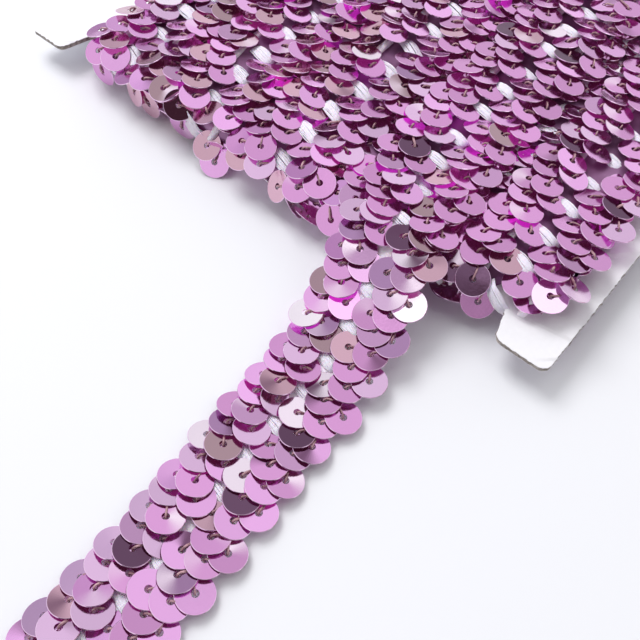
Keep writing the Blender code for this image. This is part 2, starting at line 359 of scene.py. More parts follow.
def settle(rounds=70):
    """Lets the sequins push each other apart until each lies over those in front of it."""
    centre, normal = discs.centre.copy(), discs.normal.copy()
    home, rest = discs.centre, discs.normal
    gap = ((centre[:, None] - centre[None]) ** 2).sum(-1)
    first, second = np.where(np.triu(gap < (2.15 * SEQUIN_RADIUS) ** 2, 1))
    facing = (discs.out[first] * discs.out[second]).sum(-1) > 0.1
    first, second = first[facing], second[facing]
    apart = centre[second] - centre[first]
    lead = (apart * discs.along[first]).sum(-1)
    rank = discs.layer[first] - discs.layer[second]
    first_upper = np.where(rank == 0, lead > 0, rank > 0)
    upper = np.where(first_upper, first, second)
    lower = np.where(first_upper, second, first)
    angles = np.linspace(0.0, 2 * math.pi, 10, endpoint=False)
    rho = (SEQUIN_RADIUS ** 2) / 4
    reach = SEQUIN_RADIUS - 0.04
    for round_index in range(rounds):
        e1 = unit(discs.along - normal * (discs.along * normal).sum(-1, keepdims=True))
        e2 = np.cross(normal, e1)
        rim = centre[:, None] + reach * (np.cos(angles)[None, :, None] * e1[:, None]
                                         + np.sin(angles)[None, :, None] * e2[:, None])
        move = np.zeros_like(centre)
        turn = np.zeros_like(centre)
        touches = np.zeros(len(centre))
        for plane, other, sign in ((upper, lower, 1.0), (lower, upper, -1.0)):
            arm = rim[other] - centre[plane][:, None]
            height = (arm * normal[plane][:, None]).sum(-1)
            aside = (arm ** 2).sum(-1) - height ** 2
            wrong = np.clip(REST_GAP + sign * height, 0.0, 0.6) * (aside < SEQUIN_RADIUS ** 2)
            wrong = wrong * (np.abs(height) < 2.0)
            hit, corner = np.where(wrong > 0)
            force = normal[plane[hit]] * (sign * 0.5 * wrong[hit, corner])[:, None]
            for body, amount in ((plane[hit], force), (other[hit], -force)):
                lever = rim[other[hit], corner] - centre[body]
                share = 1.0 / (1.0 + (lever ** 2).sum(-1, keepdims=True) / rho)
                np.add.at(move, body, amount * share)
                np.add.at(turn, body, np.cross(lever, amount) / rho * share)
                np.add.at(touches, body, 1.0)
        scale = 1.3 / np.maximum(touches, 1.0)[:, None]
        centre = centre + move * scale
        normal = unit(normal + np.cross(turn * scale, normal))
        if round_index < rounds - 12:
            back = home - centre
            depth = (back * discs.out).sum(-1, keepdims=True) * discs.out
            centre = centre + 0.05 * depth + 0.3 * (back - depth)
            normal = unit(normal + 0.08 * (rest - normal))
        dip = SEQUIN_RADIUS * np.sqrt(np.clip(1 - normal[:, 2] ** 2, 0, 1)) + 0.12
        centre[:, 2] = np.maximum(centre[:, 2], dip)
        wound = discs.layer < 1.5
        centre[wound, 1] = np.clip(centre[wound, 1], fold_front - FOLD_SLACK, fold_back + FOLD_SLACK)
    discs.centre, discs.normal = centre, normal


def covered(index, point):
    """Whether some other sequin lies over a point on one sequin."""
    arm = point - discs.centre
    height = (arm * discs.normal).sum(-1)
    aside = (arm ** 2).sum(-1) - height ** 2
    over = (aside < SEQUIN_RADIUS ** 2) & (height < 0.02) & (height > -1.5)
    over[index] = False
    return bool(over.any())


def make_mesh(name, verts, faces, material, attributes=None, smooth_angle=None):
    """A mesh object from arrays in millimetres."""
    mesh = bpy.data.meshes.new(name)
    faces = np.asarray(faces)
    mesh.vertices.add(len(verts))
    mesh.vertices.foreach_set("co", (np.asarray(verts) * MM).astype(np.float32).ravel())
    mesh.loops.add(faces.size)
    mesh.loops.foreach_set("vertex_index", faces.ravel().astype(np.int32))
    mesh.polygons.add(len(faces))
    width = faces.shape[1]
    mesh.polygons.foreach_set("loop_start", np.arange(0, faces.size, width, dtype=np.int32))
    mesh.update(calc_edges=True)
    mesh.validate()
    mesh.shade_smooth()
    if smooth_angle:
        mesh.set_sharp_from_angle(angle=math.radians(smooth_angle))
    for key, values in (attributes or {}).items():
        layer = mesh.attributes.new(key, "FLOAT", "POINT")
        layer.data.foreach_set("value", np.asarray(values, dtype=np.float32))
    mesh.materials.append(material)
    made = bpy.data.objects.new(name, mesh)
    bpy.context.collection.objects.link(made)
    return made


def ring_faces(rings, sides, closed_rings=False):
    """Quads between rings of points, each ring closed on itself. The first and last ring get an end cap."""
    faces = []
    if not closed_rings:
        end = (rings - 1) * sides
        for side in range(sides // 2 - 1):
            cap = (side, side + 1, sides - 2 - side, sides - 1 - side)
            faces.append(cap[::-1])
            faces.append(tuple(end + corner for corner in cap))
    for ring in range(rings if closed_rings else rings - 1):
        here, there = ring * sides, (ring + 1) % rings * sides
        for side in range(sides):
            following = (side + 1) % sides
            faces.append((here + side, here + following, there + following, there + side))
    return np.array(faces)


def disc_template():
    """Rings of one flat pierced sequin with a thin turned rim: radius and height of each ring."""
    half = SEQUIN_THICKNESS / 2
    rings = (
        (SEQUIN_HOLE, -half),
        (SEQUIN_RADIUS, -half),
        (SEQUIN_RADIUS, half - 0.06),
        (SEQUIN_RADIUS - 0.06, half),
        (SEQUIN_HOLE, half),
    )
    angle = np.linspace(0.0, 2 * math.pi, SEQUIN_SEGMENTS, endpoint=False)
    verts = [np.stack([r * np.cos(angle), r * np.sin(angle), np.full_like(angle, z)], -1) for r, z in rings]
    return np.concatenate(verts), ring_faces(len(rings), SEQUIN_SEGMENTS, closed_rings=True)


def sequin_piece(name, chosen, material):
    """One joined mesh of the chosen sequins, each a little bent, with its own tone, some with a painted glint, and with
    a painted magenta emission on their undersides.
    """
    template, faces = disc_template()
    all_verts, all_faces, tone, radial, shade, painted_glint, painted_glow = [], [], [], [], [], [], []
    under = np.arange(len(template)) < 2 * SEQUIN_SEGMENTS
    around = np.arctan2(template[:, 1], template[:, 0])
    for number, index in enumerate(chosen):
        n = discs.normal[index]
        e1 = unit(discs.along[index] - n * (discs.along[index] @ n))
        e2 = np.cross(n, e1)
        bow = rng.normal(0.0, 0.07)
        way = rng.random() * math.pi
        local = template.copy()
        reach = (local[:, 0] * math.cos(way) + local[:, 1] * math.sin(way)) / SEQUIN_RADIUS
        local[:, 2] += bow * (reach ** 2 - 0.4)
        local[:, :2] *= rng.normal(1.0, 0.008)
        all_verts.append(discs.centre[index] + local[:, :1] * e1 + local[:, 1:2] * e2 + local[:, 2:] * n)
        all_faces.append(faces + number * len(template))
        tone.append(np.full(len(template), tone_of(discs.centre[index])))
        shade.append(np.full(len(template), rng.random()))
        # A painted glint spreading out from the hole: a painted highlight when positive, a painted dark reflection when
        # negative.
        share = LOOSE_PAINTED_GLINT_SHARE if discs.centre[index][1] < LAST_TURN_END else WOUND_PAINTED_GLINT_SHARE
        strength = rng.uniform(0.35, 1.0) * rng.choice((1.0, -1.0), p=(0.55, 0.45)) * (rng.random() < share)
        painted_glint.append(strength * np.clip(np.cos(around - rng.uniform(0.0, 2 * math.pi)), 0.0, 1.0) ** 2)
        # Painted light on the underside: an emission that stands in for magenta light reflected between the discs.
        painted_glow.append(under * rng.choice(PAINTED_GLOWS, p=PAINTED_GLOW_SHARES))
        radial.append(np.hypot(template[:, 0], template[:, 1]) / SEQUIN_RADIUS)
    attributes = {"tone": np.concatenate(tone), "shade": np.concatenate(shade), "radial": np.concatenate(radial),
                  "painted_glint": np.concatenate(painted_glint), "painted_glow": np.concatenate(painted_glow)}
    return make_mesh(name, np.concatenate(all_verts), np.concatenate(all_faces), material, attributes, 35.0)


def tube(points, radius, sides, hint):
    """Points and faces of a closed tube along a line of points."""
    points = np.asarray(points)
    along = unit(np.gradient(points, axis=0))
    hint = hint - along * (along * hint).sum(-1, keepdims=True)
    e1 = unit(hint)
    e2 = np.cross(along, e1)
    angle = np.linspace(0.0, 2 * math.pi, sides, endpoint=False)
    radius = np.broadcast_to(radius, (len(points),))
    rings = (points[:, None] + radius[:, None, None]
             * (np.cos(angle)[None, :, None] * e1[:, None] + np.sin(angle)[None, :, None] * e2[:, None]))
    return rings.reshape(-1, 3), ring_faces(len(points), sides)


def thread_piece(name, chosen, material):
    """The clear stitches: each comes up through a hole, crosses to the side and dives."""
    sides = 6
    all_verts, all_faces, count = [], [], 0
    for index in chosen:
        n = discs.normal[index]
        side = np.cross(discs.out[index], discs.along[index])
        c = discs.centre[index]
        turned = rng.normal(0.0, 12.0)
        hidden = False
        for angle, reach in STITCH_CHOICES:
            angle = math.radians(angle + turned)
            way = side * math.cos(angle) - discs.along[index] * math.sin(angle)
            way = unit(way - n * (way @ n))
            hidden = covered(index, c + way * reach + n * 0.1)
            if hidden:
                break
        lean = np.cross(n, way)
        wander = rng.normal(0.0, 0.12)
        if hidden:
            spots = ((0.0, -0.6), (-0.06, -0.15), (0.12, 0.18), (0.45, 0.32), (reach - 0.45, 0.24), (reach + 0.05, 0.0),
                     (reach + 0.25, -0.3))
        else:
            spots = ((0.0, -0.6), (-0.06, -0.15), (0.12, 0.18), (0.55, 0.32), (1.4, 0.24), (2.5, 0.22),
                     (3.15, 0.16), (3.3, -0.25), (3.25, -0.7))
        line = np.array([c + way * a + n * b + lean * wander * a for a, b in spots])
        verts, faces = tube(line, STITCH_RADIUS * rng.normal(1.0, 0.12), sides, lean)
        all_verts.append(verts)
        all_faces.append(faces + count)
        count += len(verts)
    return make_mesh(name, np.concatenate(all_verts), np.concatenate(all_faces), material)


def crossings(path, start, stop, pitch, phase, size):
    """The white yarn that crosses the gap between two chains, once in each pitch: bundles of fine filaments."""
    all_verts, all_faces, count = [], [], 0
    first = start + (phase - start) % pitch
    for middle in np.arange(first, stop, pitch):
        middle = middle + rng.normal(0.0, 0.25)
        place, along, out, side = (found[0] for found in path.at(np.array([middle])))
        way = unit(side + along * rng.normal(CROSSING_SLANT, 0.08))
        beside = np.cross(out, way)
        reach = CROSSING_HALF_LENGTH * size * rng.uniform(0.9, 1.1)
        depth = CROSSING_HEIGHT - (0.7 if rng.random() < 0.35 else 0.0)
        for number in range(FILAMENTS):
            share = 2.0 * (number + 0.5) / FILAMENTS - 1.0
            bend = rng.normal(0.0, 0.06)
            line = []
            for step in np.linspace(-1.0, 1.0, 7):
                pinch = 1.0 - 0.3 * step ** 2 + 0.05 * math.sin(7.0 * step + number)
                height = depth + 0.3 * (1.0 - share ** 2) - 1.1 * step ** 4
                height = height + 0.03 * math.sin(5.0 * step + 2.0 * number)
                line.append(place + way * (reach * step) + out * height
                            + beside * (CROSSING_HALF_WIDTH * size * share * pinch + bend * (1.0 - step ** 2)))
            verts, faces = tube(np.array(line), FILAMENT_RADIUS * rng.uniform(0.8, 1.2), 4, beside)
            all_verts.append(verts)
            all_faces.append(faces + count)
            count += len(verts)
    return all_verts, all_faces, count


def yarn_piece(name, path, start, stop, pitch, phase, material, size=1.0):
    """The ground under the rows: lobed strands that turn as they go, and the yarn that crosses between chains."""
    sides = 8
    all_verts, all_faces, count = crossings(path, start, stop, pitch, phase + pitch / 2, size)
    distance = np.arange(start, stop, 1.3)
    place, along, out, side = path.at(distance)
    for across, depth, radius, twisted in STRANDS:
        middle = place + side * (across + 0.25 * np.sin(distance / 3.1 + twisted))[:, None] + out * depth
        angle = np.linspace(0.0, 2 * math.pi, sides, endpoint=False)
        twist = distance / 5.0 * 2 * math.pi + twisted
        swell = radius * (1.0 + 0.14 * np.cos(3 * (angle[None] - twist[:, None])))
        rings = (middle[:, None] + swell[..., None]
                 * (np.cos(angle)[None, :, None] * side[:, None] + 0.8 * np.sin(angle)[None, :, None] * out[:, None]))
        verts = rings.reshape(-1, 3)
        all_verts.append(verts)
        all_faces.append(ring_faces(len(distance), sides) + count)
        count += len(verts)
    verts = np.concatenate(all_verts)
    verts[:, 2] = np.maximum(verts[:, 2], 0.02)
    return make_mesh(name, verts, np.concatenate(all_faces), material)


def node(tree, kind, place=(0, 0), **values):
    """Adds a node and sets its properties and inputs by name."""
    made = tree.nodes.new(kind)
    made.location = place
    for key, value in values.items():
        if key in made.inputs:
            made.inputs[key].default_value = value
        else:
            setattr(made, key, value)
    return made


def new_material(name):
    """An empty material with its Principled shader."""
    made = bpy.data.materials.new(name)
    made.use_nodes = True
    return made, made.node_tree, made.node_tree.nodes["Principled BSDF"]


# The foil's tones, then how often each is met, one row for each stretch of the trim. The violet, brown and dark tones
# are painted dark reflections, and the blown tone is a painted highlight.
FOIL_TONES = (
    (0.72, 0.36, 0.69),
    (0.87, 0.47, 0.86),
    (0.76, 0.52, 0.77),
    (0.56, 0.33, 0.56),
    (0.68, 0.43, 0.53),
    (0.42, 0.29, 0.33),
    (0.42, 0.25, 0.45),
    (0.13, 0.075, 0.13),
    (1.0, 0.88, 1.0),
)
TONE_COLUMNS = ("pink", "light pink", "lilac", "mauve", "beige", "brown", "violet", "dark", "blown")
TONE_SHARES = {
    "pack right": (0.64, 0.14, 0.10, 0.05, 0.02, 0.01, 0.01, 0.02, 0.01),
    "pack left": (0.24, 0.20, 0.15, 0.04, 0.22, 0.06, 0.03, 0.02, 0.04),
    "neck": (0.28, 0.10, 0.14, 0.15, 0.02, 0.03, 0.08, 0.07, 0.13),
    "loose left": (0.14, 0.28, 0.40, 0.03, 0.01, 0.01, 0.01, 0.04, 0.08),
    "loose right": (0.32, 0.47, 0.05, 0.02, 0.01, 0.01, 0.02, 0.04, 0.06),
}


def tone_of(point):
    """Which tone the sequin at a point has, as a place on the foil's colour ramp."""
    x, y = point[:2]
    stretch = "pack right" if rng.random() < smoothstep((x + 8.0) / 30.0) else "pack left"
    if y < 3.0 and abs(x - 31.0) < 13.0:
        stretch = "neck"
    if y < -24.0 and rng.random() < smoothstep((-26.0 - y) / 34.0):
        stretch = "loose left" if x < 35.5 else "loose right"
    return (rng.choice(len(FOIL_TONES), p=TONE_SHARES[stretch]) + 0.5) / len(FOIL_TONES)


def sequin_material():
    """Foil that is pink, lilac or a little beige from disc to disc, paler at its rim, with a fine grain. Some discs
    take a dark or white tone that is a painted reflection or painted highlight, some a painted glint, and all a faint
    painted magenta emission that stands in for light reflected between the discs.
    """
    made, tree, shader = new_material("sequin_foil")
    made.cycles.emission_sampling = "NONE"
    shader.inputs["Metallic"].default_value = 1.0
    # Painted light: each sequin emits a faint magenta light, more from its undersides, standing in for light reflected
    # between the discs.
    painted_glow = node(tree, "ShaderNodeAttribute", attribute_name="painted_glow")
    strength = node(tree, "ShaderNodeMath", operation="ADD")
    strength.inputs[1].default_value = 0.018
    tree.links.new(painted_glow.outputs["Fac"], strength.inputs[0])
    tree.links.new(strength.outputs["Value"], shader.inputs["Emission Strength"])
    painted_glow_share = node(tree, "ShaderNodeMath", operation="MULTIPLY", use_clamp=True)
    painted_glow_share.inputs[1].default_value = 4.0
    tree.links.new(painted_glow.outputs["Fac"], painted_glow_share.inputs[0])
    painted_glow_colour = node(tree, "ShaderNodeMix", data_type="RGBA")
    painted_glow_colour.inputs["A"].default_value = (1.0, 0.12, 0.45, 1)
    painted_glow_colour.inputs["B"].default_value = (1.0, 0.08, 0.95, 1)
    tree.links.new(painted_glow_share.outputs["Value"], painted_glow_colour.inputs["Factor"])
    tree.links.new(painted_glow_colour.outputs["Result"], shader.inputs["Emission Color"])
    # The tone ramp holds the foil's own colours along with painted dark reflections and a painted highlight.
    tone = node(tree, "ShaderNodeAttribute", attribute_name="tone")
    ramp = node(tree, "ShaderNodeValToRGB")
    ramp.color_ramp.interpolation = "CONSTANT"
    ramp.color_ramp.elements[0].color = (*FOIL_TONES[0], 1)
    ramp.color_ramp.elements[1].position = 1 / len(FOIL_TONES)
    ramp.color_ramp.elements[1].color = (*FOIL_TONES[1], 1)
    for step, colour in enumerate(FOIL_TONES[2:], 2):
        ramp.color_ramp.elements.new(step / len(FOIL_TONES)).color = (*colour, 1)
    tree.links.new(tone.outputs["Fac"], ramp.inputs["Fac"])
    shade = node(tree, "ShaderNodeAttribute", attribute_name="shade")
    value = node(tree, "ShaderNodeMapRange")
    value.inputs["To Min"].default_value = 0.80
    value.inputs["To Max"].default_value = 1.08
    tree.links.new(shade.outputs["Fac"], value.inputs["Value"])
    shaded = node(tree, "ShaderNodeHueSaturation")
    tree.links.new(ramp.outputs["Color"], shaded.inputs["Color"])
    tree.links.new(value.outputs["Result"], shaded.inputs["Value"])
    # Painted glints: a painted white highlight or a painted dark reflection mixed into the foil's colour.
    painted_glint = node(tree, "ShaderNodeAttribute", attribute_name="painted_glint")
    colour = shaded.outputs["Color"]
    for side, glint in ((1.0, (1.0, 0.84, 0.98, 1)), (-1.0, (0.11, 0.05, 0.10, 1))):
        share = node(tree, "ShaderNodeMath", operation="MULTIPLY", use_clamp=True)
        share.inputs[1].default_value = side
        tree.links.new(painted_glint.outputs["Fac"], share.inputs[0])
        struck = node(tree, "ShaderNodeMix", data_type="RGBA")
        struck.inputs["B"].default_value = glint
        tree.links.new(share.outputs["Value"], struck.inputs["Factor"])
        tree.links.new(colour, struck.inputs["A"])
        colour = struck.outputs["Result"]
    radial = node(tree, "ShaderNodeAttribute", attribute_name="radial")
    rim = node(tree, "ShaderNodeMapRange")
    rim.inputs["From Min"].default_value = 0.955
    rim.inputs["From Max"].default_value = 0.985
    tree.links.new(radial.outputs["Fac"], rim.inputs["Value"])
    mix = node(tree, "ShaderNodeMix", data_type="RGBA")
    mix.inputs["B"].default_value = (0.86, 0.62, 0.85, 1)
    tree.links.new(rim.outputs["Result"], mix.inputs["Factor"])
    tree.links.new(colour, mix.inputs["A"])
    tree.links.new(mix.outputs["Result"], shader.inputs["Base Color"])
    place = node(tree, "ShaderNodeTexCoord")
    grain = node(tree, "ShaderNodeTexNoise", Scale=2600.0, Detail=3.0)
    tree.links.new(place.outputs["Object"], grain.inputs["Vector"])
    rough = node(tree, "ShaderNodeMapRange")
    rough.inputs["To Min"].default_value = 0.07
    rough.inputs["To Max"].default_value = 0.2
    tree.links.new(grain.outputs["Fac"], rough.inputs["Value"])
    tree.links.new(rough.outputs["Result"], shader.inputs["Roughness"])
    bump = node(tree, "ShaderNodeBump", Strength=0.06, Distance=0.0001)
    tree.links.new(grain.outputs["Fac"], bump.inputs["Height"])
    tree.links.new(bump.outputs["Normal"], shader.inputs["Normal"])
    return made


def thread_material():
    """Clear thread that has browned a little: glossy, part see-through."""
    made, tree, shader = new_material("stitch_thread")
    shader.inputs["Roughness"].default_value = 0.22
    shader.inputs["Transmission Weight"].default_value = 0.15
    shader.inputs["Coat Weight"].default_value = 0.6
    place = node(tree, "ShaderNodeTexCoord")
    noise = node(tree, "ShaderNodeTexNoise", Scale=700.0, Detail=2.0)
    ramp = node(tree, "ShaderNodeValToRGB")
    ramp.color_ramp.elements[0].position = 0.35
    ramp.color_ramp.elements[0].color = (0.24, 0.10, 0.13, 1)
    ramp.color_ramp.elements[1].position = 0.65
    ramp.color_ramp.elements[1].color = (0.70, 0.42, 0.46, 1)
    tree.links.new(place.outputs["Object"], noise.inputs["Vector"])
    tree.links.new(noise.outputs["Fac"], ramp.inputs["Fac"])
    tree.links.new(ramp.outputs["Color"], shader.inputs["Base Color"])
    return made


def yarn_material():
    """Soft white filament yarn with a silky sheen and fine fibres."""
    made, tree, shader = new_material("white_yarn")
    shader.inputs["Roughness"].default_value = 0.5
    shader.inputs["Sheen Weight"].default_value = 0.4
    shader.inputs["Subsurface Weight"].default_value = 0.15
    shader.inputs["Subsurface Scale"].default_value = 0.0006
    place = node(tree, "ShaderNodeTexCoord")
    fibre = node(tree, "ShaderNodeTexNoise", Scale=1500.0, Detail=4.0)
    stretch = node(tree, "ShaderNodeMapping")
    stretch.inputs["Scale"].default_value = (2.2, 0.25, 1.0)
    tree.links.new(place.outputs["Object"], stretch.inputs["Vector"])
    tree.links.new(stretch.outputs["Vector"], fibre.inputs["Vector"])
    ramp = node(tree, "ShaderNodeValToRGB")
    ramp.color_ramp.elements[0].position = 0.3
    ramp.color_ramp.elements[0].color = (0.90, 0.79, 0.92, 1)
    ramp.color_ramp.elements[1].position = 0.6
    ramp.color_ramp.elements[1].color = (0.98, 0.90, 0.99, 1)
    tree.links.new(fibre.outputs["Fac"], ramp.inputs["Fac"])
    tree.links.new(ramp.outputs["Color"], shader.inputs["Base Color"])
    bump = node(tree, "ShaderNodeBump", Strength=0.3, Distance=0.0001)
    tree.links.new(fibre.outputs["Fac"], bump.inputs["Height"])
    tree.links.new(bump.outputs["Normal"], shader.inputs["Normal"])
    return made


def painted_shade_material():
    """What lies between the layers: foil coloured dark as painted shade."""
    made, tree, shader = new_material("inner_layers")
    shader.inputs["Metallic"].default_value = 0.6
    shader.inputs["Roughness"].default_value = 0.4
    place = node(tree, "ShaderNodeTexCoord")
    noise = node(tree, "ShaderNodeTexVoronoi", Scale=260.0)
    ramp = node(tree, "ShaderNodeValToRGB")
    ramp.color_ramp.elements[0].color = (0.20, 0.08, 0.18, 1)
    ramp.color_ramp.elements[1].color = (0.42, 0.22, 0.40, 1)
    tree.links.new(place.outputs["Object"], noise.inputs["Vector"])
    tree.links.new(noise.outputs["Distance"], ramp.inputs["Fac"])
    tree.links.new(ramp.outputs["Color"], shader.inputs["Base Color"])
    return made


def card_material():
    """Greyboard faced with white paper: the cut edges show its grey-brown core."""
    made, tree, shader = new_material("white_faced_board")
    shader.inputs["Roughness"].default_value = 0.75
    layer = node(tree, "ShaderNodeAttribute", attribute_name="core")
    place = node(tree, "ShaderNodeTexCoord")
    noise = node(tree, "ShaderNodeTexNoise", Scale=1200.0, Detail=5.0)
    tree.links.new(place.outputs["Object"], noise.inputs["Vector"])
    core = node(tree, "ShaderNodeValToRGB")
    core.color_ramp.elements[0].position = 0.35
    core.color_ramp.elements[0].color = (0.20, 0.17, 0.15, 1)
    core.color_ramp.elements[1].position = 0.68
    core.color_ramp.elements[1].color = (0.50, 0.45, 0.41, 1)
    tree.links.new(noise.outputs["Fac"], core.inputs["Fac"])
    paper = node(tree, "ShaderNodeValToRGB")
    paper.color_ramp.elements[0].color = (0.84, 0.84, 0.87, 1)
    paper.color_ramp.elements[1].color = (0.91, 0.91, 0.94, 1)
    tree.links.new(noise.outputs["Fac"], paper.inputs["Fac"])
    mix = node(tree, "ShaderNodeMix", data_type="RGBA")
    tree.links.new(layer.outputs["Fac"], mix.inputs["Factor"])
    tree.links.new(paper.outputs["Color"], mix.inputs["A"])
    tree.links.new(core.outputs["Color"], mix.inputs["B"])
    tree.links.new(mix.outputs["Result"], shader.inputs["Base Color"])
    bump = node(tree, "ShaderNodeBump", Strength=0.25, Distance=0.0001)
    tree.links.new(noise.outputs["Fac"], bump.inputs["Height"])
    tree.links.new(bump.outputs["Normal"], shader.inputs["Normal"])
    return made


def card_outline():
    """Corners of the notched card, counter-clockwise."""
    half = CARD_LENGTH / 2
    mouth, floor = NOTCH_MOUTH / 2, NOTCH_FLOOR / 2
    front, back = card_low[1], card_high[1]
    front_floor, back_floor = front + NOTCH_DEPTH, back - NOTCH_DEPTH
    return [
        (-half, front), (-mouth, front), (-floor, front_floor), (floor, front_floor),
        (mouth, front), (half, front), (half, back), (mouth, back),
        (floor, back_floor), (-floor, back_floor), (-mouth, back), (-half, back),
    ]


def rounded(corners, radius, steps=5):
    """Rounds the corners of a closed outline."""
    corners = [np.array(corner, dtype=float) for corner in corners]
    points = []
    for index, corner in enumerate(corners):
        incoming = unit(corners[index - 1] - corner)
        outgoing = unit(corners[(index + 1) % len(corners)] - corner)
        half = math.acos(float(incoming @ outgoing)) / 2
        centre = corner + unit(incoming + outgoing) * radius / math.sin(half)
        start = corner + incoming * radius / math.tan(half)
        end = corner + outgoing * radius / math.tan(half)
        for step in range(steps + 1):
            blended = start + (end - start) * step / steps
            points.append(centre + unit(blended - centre) * radius)
    return np.array(points)


def evenly(points, step):
    """Even points along a closed outline, with the outward normal at each."""
    closed = np.vstack([points, points[:1]])
    run = np.concatenate([[0.0], np.cumsum(np.linalg.norm(np.diff(closed, axis=0), axis=1))])
    distance = np.linspace(0.0, run[-1], round(run[-1] / step), endpoint=False)
    even = np.stack([np.interp(distance, run, closed[:, k]) for k in range(2)], -1)
    along = np.roll(even, -1, axis=0) - np.roll(even, 1, axis=0)
    return even, unit(np.stack([along[:, 1], -along[:, 0]], -1))


def card_piece(material):
    """The board with its torn-looking cut edge: paper faces, a rougher core that frays a little."""
    even, outward = evenly(rounded(card_outline(), 1.6), 0.4)
    low, high = card_low[2], card_high[2]
    mesh = bmesh.new()
    core = mesh.verts.layers.float.new("core")
    fray = np.zeros(len(even))
    rings = []
    for share, roughness, inset, is_core in CARD_RINGS:
        fray = 0.6 * fray + rng.normal(0.0, roughness, len(even))
        places = even + outward * (fray - inset)[:, None]
        ring = []
        for x, y in places:
            vert = mesh.verts.new((x * MM, y * MM, (low + (high - low) * share) * MM))
            vert[core] = is_core
            ring.append(vert)
        rings.append(ring)
    for below, above in zip(rings, rings[1:]):
        for index in range(len(below)):
            following = (index + 1) % len(below)
            mesh.faces.new((below[index], below[following], above[following], above[index]))
    fill = delaunay_2d_cdt([Vector(point) for point in even], [], [list(range(len(even)))], 1, 1e-5)[2]
    for corners in fill:
        mesh.faces.new([rings[-1][corner] for corner in corners])
        mesh.faces.new([rings[0][corner] for corner in reversed(corners)])
    data = bpy.data.meshes.new("notched_card")
    mesh.to_mesh(data)
    mesh.free()
    data.shade_smooth()
    data.set_sharp_from_angle(angle=math.radians(35.0))
    data.materials.append(material)
    made = bpy.data.objects.new("notched_card", data)
    bpy.context.collection.objects.link(made)
    return made


def core_piece(material):
    """The deeper layers as one smooth oval body inside the outer turns."""
    y, z, out_y, out_z = oval(2.0, 24)
    stations = np.linspace(wound_low[0] + 2.5, wound_high[0] - 2.5, 30)
    at_front = smoothstep((fold_front + FOLD_ROUNDING * 1.6 - y) / FOLD_ROUNDING)
    at_back = smoothstep((y - fold_back + FOLD_ROUNDING * 1.6) / FOLD_ROUNDING)
    rings = []
    for x in stations:
        clear_of_tabs = NOTCH_DEPTH * smoothstep((abs(x) - NOTCH_FLOOR / 2 + 4.0) / 4.0)
        rings.append(np.stack([np.full_like(y, x), y + fold_recess(x, y) + clear_of_tabs * (at_front - at_back), z], -1))
    made = make_mesh("winding_core", np.concatenate(rings), ring_faces(len(stations), len(y)), material)
    return made


def band_piece(path, start, stop, material):
    """The loose end's ground: a thin flat band of yarn under the rows."""
    distance = np.linspace(start, stop, 120)
    place, along, out, side = path.at(distance)
    half = BAND_WIDTH / 2 * loose_spread(distance) / LOOSE_SPREAD
    across = np.linspace(-1.0, 1.0, 13)
    lift = 0.25 * np.cos(across * 2 * math.pi)
    top = (place[:, None] + side[:, None] * (across[None] * half[:, None])[..., None]
           + out[:, None] * (lift - 0.75)[None, :, None])
    low = top - out[:, None] * 0.45
    top[..., 2] = np.maximum(top[..., 2], 0.5)
    low[..., 2] = np.maximum(low[..., 2], 0.05)
    rings = np.concatenate([top, low[:, ::-1]], axis=1)
    sides = rings.shape[1]
    faces = ring_faces(len(distance), sides)
    made = make_mesh("loose_end_band", rings.reshape(-1, 3), faces, material)
    return made


def loose_spread(distance):
    """How wide the last strip is spread: wide on the card, narrow where it comes down, wider again."""
    before = smoothstep((distance - LEAVE + 14.0) / 16.0)
    after = smoothstep((distance - LEAVE - 32.0) / 26.0)
    return WOUND_SPREAD + (NECK_SPREAD - WOUND_SPREAD) * before + (LOOSE_SPREAD - NECK_SPREAD) * after


def make_camera():
    """The camera at the photograph's place and pitch."""
    data = bpy.data.cameras.new("camera")
    data.lens = CAMERA_LENS
    data.sensor_width = CAMERA_SENSOR
    data.clip_start = 0.005
    made = bpy.data.objects.new("camera", data)
    made.location = [part * MM for part in CAMERA_PLACE]
    made.rotation_euler = (math.radians(90.0 - CAMERA_PITCH), 0.0, math.radians(CAMERA_AZIMUTH))
    bpy.context.collection.objects.link(made)
    bpy.context.scene.camera = made


# Zones of the studio seen in the foil: direction, cosine where it ends, cosine where it is full, colour.
WORLD_ZONES = (
    ((0.75, -0.52, 0.40), 0.72, 0.92, (0.32, 0.29, 0.31)),
    ((0.344, -0.403, 0.848), 0.87, 0.93, (0.03, 0.02, 0.025)),
    ((-0.95, 0.15, 0.35), 0.78, 0.95, (0.66, 0.64, 0.72)),
    ((0.75, 0.6, 0.3), 0.88, 0.96, (0.42, 0.33, 0.31)),
    ((0.1, 0.15, 0.98), 0.965, 0.985, (1.9, 1.9, 1.9)),
)
WORLD_WHITE = (0.97, 0.97, 0.99)


def make_world():
    """A white studio with darker and lighter zones, for the foil to reflect."""
    world = bpy.data.worlds.new("studio")
    world.use_nodes = True
    bpy.context.scene.world = world
    tree = world.node_tree
    background = tree.nodes["Background"]
    place = node(tree, "ShaderNodeTexCoord")
    colour = None
    for direction, ends, full, shade in WORLD_ZONES:
        dot = node(tree, "ShaderNodeVectorMath", operation="DOT_PRODUCT")
        dot.inputs[1].default_value = Vector(direction).normalized()
        tree.links.new(place.outputs["Generated"], dot.inputs[0])
        ramp = node(tree, "ShaderNodeMapRange", interpolation_type="SMOOTHSTEP")
        ramp.inputs["From Min"].default_value = ends
        ramp.inputs["From Max"].default_value = full
        tree.links.new(dot.outputs["Value"], ramp.inputs["Value"])
        mix = node(tree, "ShaderNodeMix", data_type="RGBA")
        mix.inputs["A"].default_value = (*WORLD_WHITE, 1)
        mix.inputs["B"].default_value = (*shade, 1)
        if colour:
            tree.links.new(colour, mix.inputs["A"])
        tree.links.new(ramp.outputs["Result"], mix.inputs["Factor"])
        colour = mix.outputs["Result"]
    tree.links.new(colour, background.inputs["Color"])
    background.inputs["Strength"].default_value = 0.95


